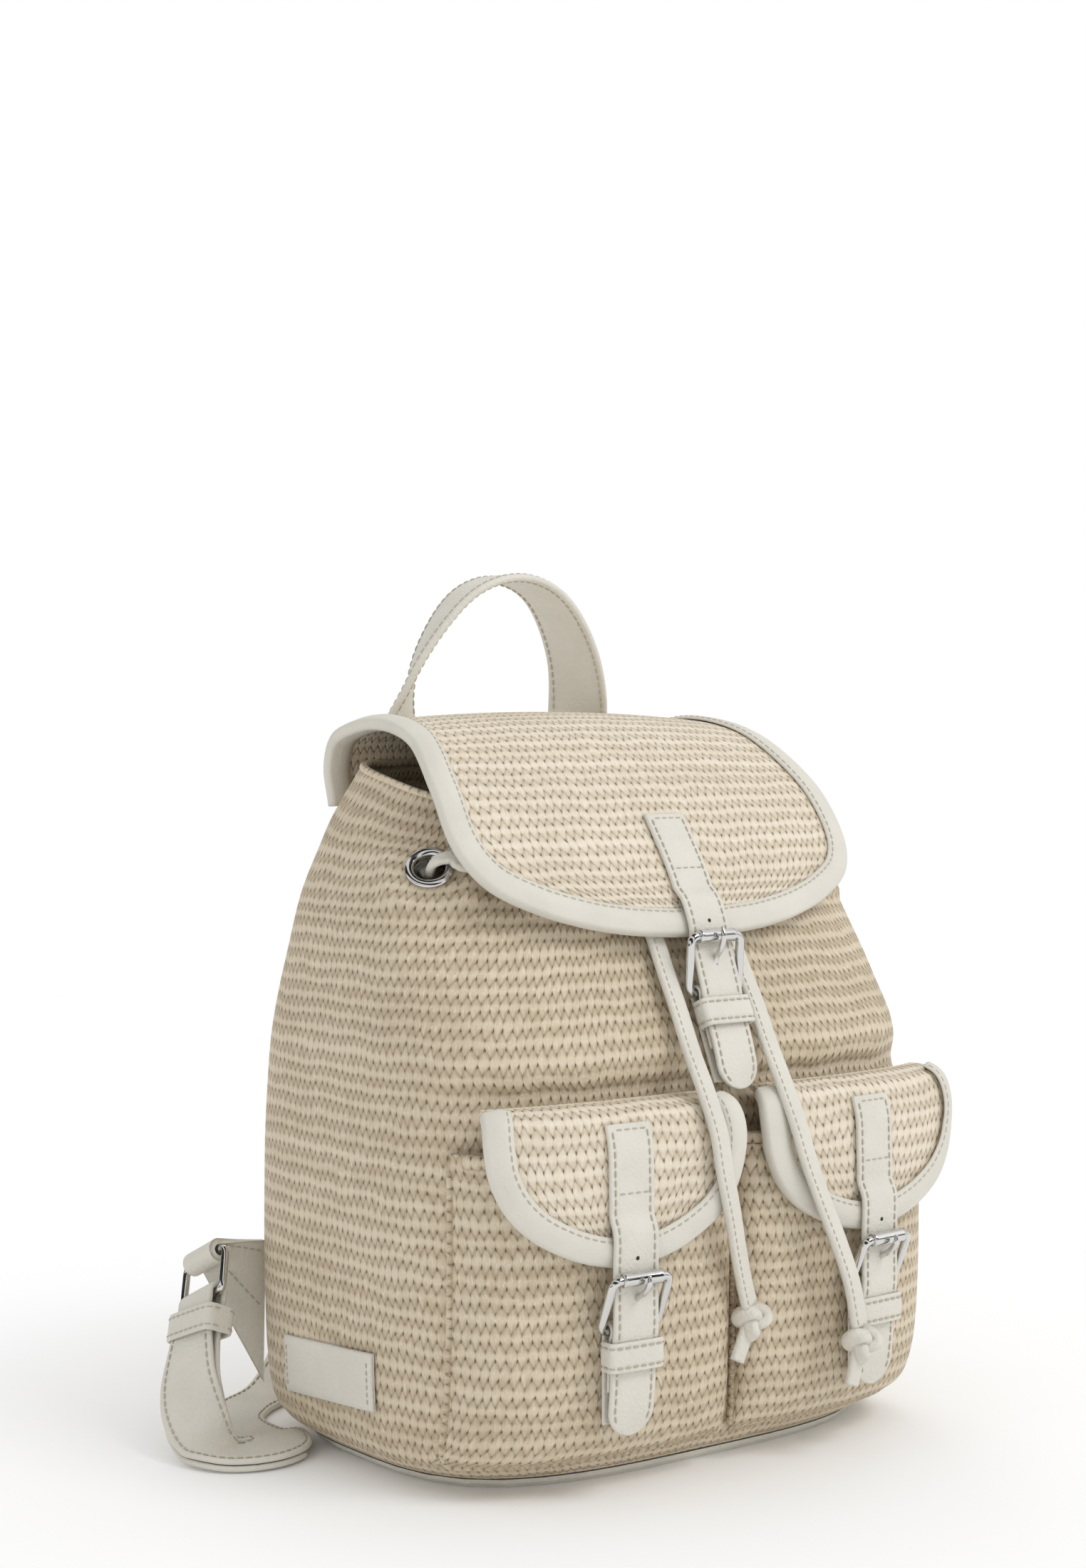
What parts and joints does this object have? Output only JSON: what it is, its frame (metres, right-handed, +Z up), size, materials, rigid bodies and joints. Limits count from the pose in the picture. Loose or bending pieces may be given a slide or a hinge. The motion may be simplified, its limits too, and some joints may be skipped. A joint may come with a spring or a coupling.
{
  "type": "woven straw backpack",
  "caption": "Small woven straw backpack with gathered neck, leather-edged flap, buckled front pockets, drawstring, carrying loop and shoulder straps.",
  "frame": {"origin": "middle of the bag's underside, on the surface it stands on", "axes": "+Z up, -Y towards the front with the pockets, +X to the right of someone who faces the front"},
  "size_m": [0.3242, 0.2239, 0.332],
  "materials": {
    "straw": "woven straw, matt",
    "leather": "pebbled, off-white",
    "metal": "polished"
  },
  "bodies": {
    "root": {"body_wrap": "straw", "back_panel": "straw", "base_panel": "leather", "eyelet_left_back": "metal", "eyelet_left_side": "metal", "eyelet_left_front": "metal", "eyelet_left_centre": "metal", "eyelet_right_centre": "metal", "eyelet_right_front": "metal", "eyelet_right_side": "metal", "eyelet_right_back": "metal", "drawstring_neck": "leather", "drawstring_tail_left": "leather", "drawstring_knot_left": "leather", "drawstring_tail_right": "leather", "drawstring_knot_right": "leather", "flap": "straw", "flap_edging": "leather", "pocket_left": "straw", "pocket_flap_left": "straw", "pocket_edging_left": "leather", "pocket_right": "straw", "pocket_flap_right": "straw", "pocket_edging_right": "leather", "pocket_left_strap": "leather", "pocket_left_tab": "leather", "pocket_left_buckle": "metal", "pocket_left_roller": "metal", "pocket_left_prong": "metal", "pocket_left_keeper": "leather", "pocket_right_strap": "leather", "pocket_right_tab": "leather", "pocket_right_buckle": "metal", "pocket_right_roller": "metal", "pocket_right_prong": "metal", "pocket_right_keeper": "leather", "flap_strap": "leather", "flap_tab": "leather", "flap_buckle": "metal", "flap_roller": "metal", "flap_prong": "metal", "flap_keeper": "leather", "handle": "leather", "label_patch": "leather", "ring_left": "metal", "ring_right": "metal", "gusset_left": "leather", "gusset_right": "leather", "shoulder_strap_left": "leather", "shoulder_keeper_left": "leather", "shoulder_strap_right": "leather", "shoulder_keeper_right": "leather"}
  },
  "joints": []
}
